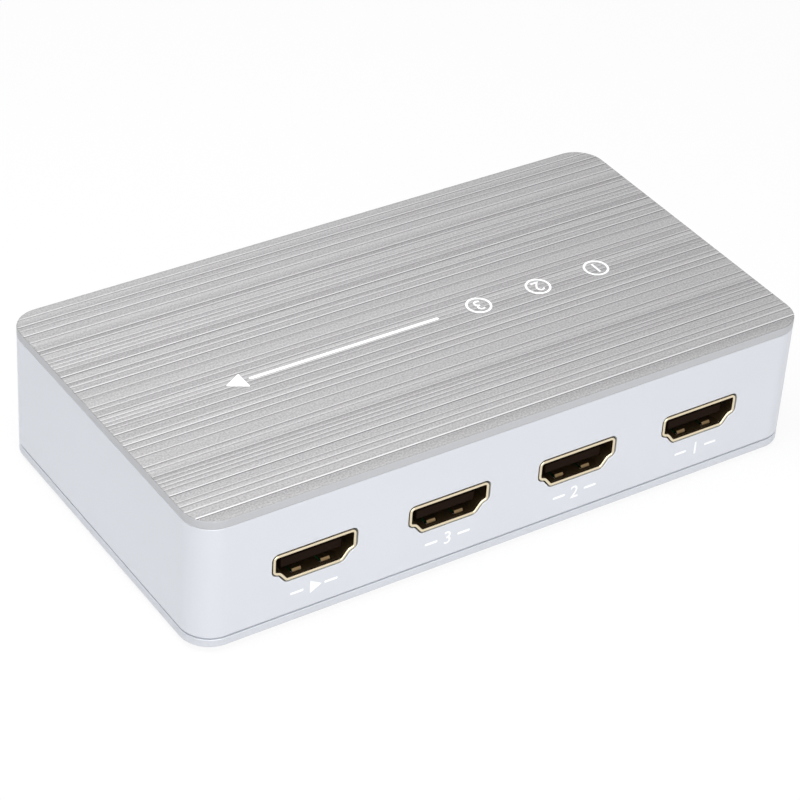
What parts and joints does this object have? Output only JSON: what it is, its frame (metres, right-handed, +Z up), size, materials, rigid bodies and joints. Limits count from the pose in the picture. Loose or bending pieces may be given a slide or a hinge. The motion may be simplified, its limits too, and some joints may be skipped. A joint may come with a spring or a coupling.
{
  "type": "video switch box",
  "caption": "Flat metal case with round corners, a lined top, a row of gold video sockets on one side, and a select button, lamps and infrared window on the other.",
  "frame": {"origin": "on the resting surface, under the middle of the case", "axes": "+X along the case, towards the power jack; +Y from the video sockets to the select button; +Z up"},
  "size_m": [0.116, 0.0638, 0.0255],
  "materials": {
    "case_metal": "fine blasted and clear anodised, satin",
    "top_metal": "lined along its length, satin",
    "base_metal": "fine blasted and clear anodised, satin",
    "adhesive": "double-sided film",
    "screw_steel": "zinc plated",
    "foot_rubber": "matt",
    "board_green": "solder resist, semi-gloss",
    "socket_gold": "gold plated",
    "tongue_plastic": "moulded, matt",
    "contact_gold": "gold plated",
    "button_metal": "turned and anodised, satin",
    "switch_plastic": "moulded, matt",
    "switch_steel": "tinned",
    "lamp_red": "clear tinted epoxy",
    "lamp_blue": "clear tinted epoxy",
    "tinned_leads": "tinned",
    "window_dark": "smoked acrylic, polished",
    "receiver_dark": "moulded epoxy",
    "jack_plastic": "moulded, matt",
    "jack_metal": "nickel plated",
    "chip_black": "moulded epoxy",
    "sink_metal": "dark anodised",
    "inductor_grey": "pressed powder",
    "can_metal": "drawn can",
    "can_foot": "moulded",
    "passive_tan": "fired"
  },
  "bodies": {
    "enclosure": {"housing": "case_metal", "top_plate": "top_metal", "base_plate": "base_metal", "top_adhesive": "adhesive", "base_screws": "screw_steel", "board_screws": "screw_steel", "rubber_feet": "foot_rubber", "circuit_board": "board_green", "output_socket_shell": "socket_gold", "input_3_socket_shell": "socket_gold", "input_2_socket_shell": "socket_gold", "input_1_socket_shell": "socket_gold", "output_socket_tongue": "tongue_plastic", "input_3_socket_tongue": "tongue_plastic", "input_2_socket_tongue": "tongue_plastic", "input_1_socket_tongue": "tongue_plastic", "output_socket_contacts": "contact_gold", "input_3_socket_contacts": "contact_gold", "input_2_socket_contacts": "contact_gold", "input_1_socket_contacts": "contact_gold", "switch_base": "switch_plastic", "switch_snap_dome": "switch_steel", "switch_cover": "switch_steel", "power_lamp": "lamp_red", "input_1_lamp": "lamp_blue", "input_2_lamp": "lamp_blue", "input_3_lamp": "lamp_blue", "lamp_leads": "tinned_leads", "receiver_leads": "tinned_leads", "switching_chip_pins": "tinned_leads", "small_chip_pins": "tinned_leads", "regulator_leads": "tinned_leads", "infrared_window": "window_dark", "infrared_receiver": "receiver_dark", "jack_body": "jack_plastic", "jack_centre_pin": "jack_metal", "jack_sleeve_contact": "jack_metal", "switching_chip": "chip_black", "controller_chip": "chip_black", "memory_chip": "chip_black", "voltage_regulator": "chip_black", "surge_arrays": "chip_black", "heat_sink": "sink_metal", "power_inductor": "inductor_grey", "crystal_can": "can_metal", "capacitor_cans": "can_metal", "capacitor_feet": "can_foot", "chip_passives": "passive_tan"},
    "button": {"select_button": "button_metal", "switch_plunger": "switch_plastic"}
  },
  "joints": [
    {"name": "select_press", "type": "slide", "parent": "enclosure", "child": "button", "axis": [0, -1, 0], "range_m": [0, 0.0003], "stiffness_N_per_m": 5000, "deforming": ["switch_snap_dome"]}
  ]
}
